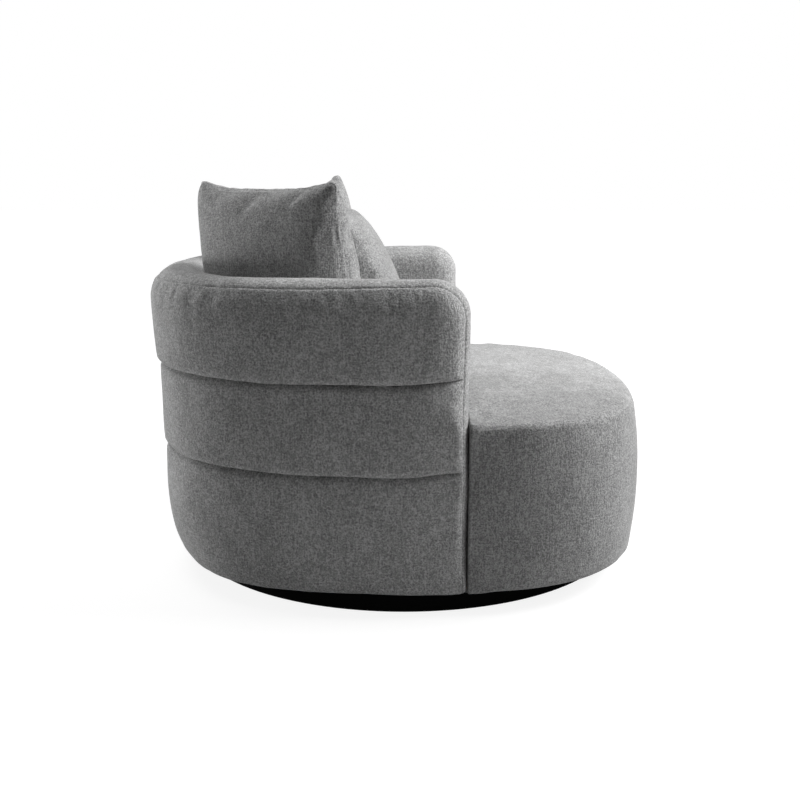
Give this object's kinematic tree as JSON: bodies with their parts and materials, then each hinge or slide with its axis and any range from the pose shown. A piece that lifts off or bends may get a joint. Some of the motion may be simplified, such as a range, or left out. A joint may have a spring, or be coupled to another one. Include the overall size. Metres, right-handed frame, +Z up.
{
  "type": "swivel armchair",
  "caption": "Round upholstered lounge chair that turns on a recessed plinth, with a wrap-around tiered back, a drum seat and loose pillows.",
  "frame": {"origin": "on the floor, on the turning axis, in the plane of the plinth's rubber ring", "axes": "+Z up; the sitter faces -Y; the sitter's right arm is at -X"},
  "size_m": [1.2232, 1.2017, 0.9469],
  "materials": {
    "rubber": "matt black rubber",
    "black_lacquer": "satin black lacquer on bent plywood",
    "plywood": "bare birch plywood",
    "beech": "planed beech",
    "hardboard": "smooth brown hardboard",
    "zinc_steel": "zinc-plated pressed steel",
    "bearing_steel": "polished steel balls",
    "spring_steel": "black oiled spring steel",
    "bronze": "oiled sintered bronze",
    "nylon": "natural moulded nylon",
    "black_cloth": "black spun-bonded cloth",
    "felt": "needled felt",
    "foam": "cut upholstery foam",
    "chenille": "grey chenille weave over foam",
    "pillow_chenille": "grey chenille weave",
    "fibre_filling": "loose fibre filling"
  },
  "bodies": {
    "base": {"floor_ring": "rubber", "plinth_ring": "black_lacquer", "base_board": "plywood", "swivel_lower_plate": "zinc_steel", "lower_plate_screws": "zinc_steel", "swivel_bolt": "zinc_steel", "swivel_washer": "zinc_steel", "swivel_nut": "zinc_steel"},
    "ball_ring": {"bearing_balls": "bearing_steel", "ball_cage": "nylon"},
    "seat": {"swivel_upper_plate": "zinc_steel", "pivot_bush": "bronze", "upper_plate_bolts": "zinc_steel", "upper_plate_tnuts": "zinc_steel", "dust_cover": "black_cloth", "seat_board": "plywood", "seat_posts": "beech", "spring_rail": "plywood", "seat_springs": "spring_steel", "spring_clips": "spring_steel", "spring_pad": "felt", "seat_foam": "foam", "front_panel": "hardboard", "front_pad": "foam", "seat_cover": "chenille", "back_lower_rail": "plywood", "back_middle_rail": "plywood", "back_top_rail": "plywood", "back_uprights": "beech", "lower_band": "chenille", "middle_band": "chenille", "upper_band": "chenille", "inner_pad": "chenille", "top_strip": "chenille", "right_arm_facing": "chenille", "left_arm_facing": "chenille"},
    "right_pillow": {"right_pillow_cover": "pillow_chenille", "right_pillow_filling": "fibre_filling"},
    "left_pillow": {"left_pillow_cover": "pillow_chenille", "left_pillow_filling": "fibre_filling"},
    "front_pillow": {"front_pillow_cover": "pillow_chenille", "front_pillow_filling": "fibre_filling"}
  },
  "joints": [
    {"name": "seat_swivel", "type": "hinge", "parent": "base", "child": "seat", "pos_m": [0, 0, 0.0405], "axis": [0, 0, 1], "continuous": true},
    {"name": "ball_ring_spin", "type": "hinge", "parent": "base", "child": "ball_ring", "pos_m": [0, 0, 0.0405], "axis": [0, 0, 1], "continuous": true},
    {"name": "right_pillow_lift", "type": "slide", "parent": "seat", "child": "right_pillow", "axis": [-0.1356, 0.1342, 0.9816], "range_m": [0, 0.35]},
    {"name": "left_pillow_lift", "type": "slide", "parent": "seat", "child": "left_pillow", "axis": [0.1405, 0.197, 0.9703], "range_m": [0, 0.35]},
    {"name": "front_pillow_lift", "type": "slide", "parent": "seat", "child": "front_pillow", "axis": [0, 0, 1], "range_m": [0, 0.35]}
  ],
  "couplings": [
    {"joint": "ball_ring_spin", "follows": "seat_swivel", "ratio": 0.5}
  ]
}
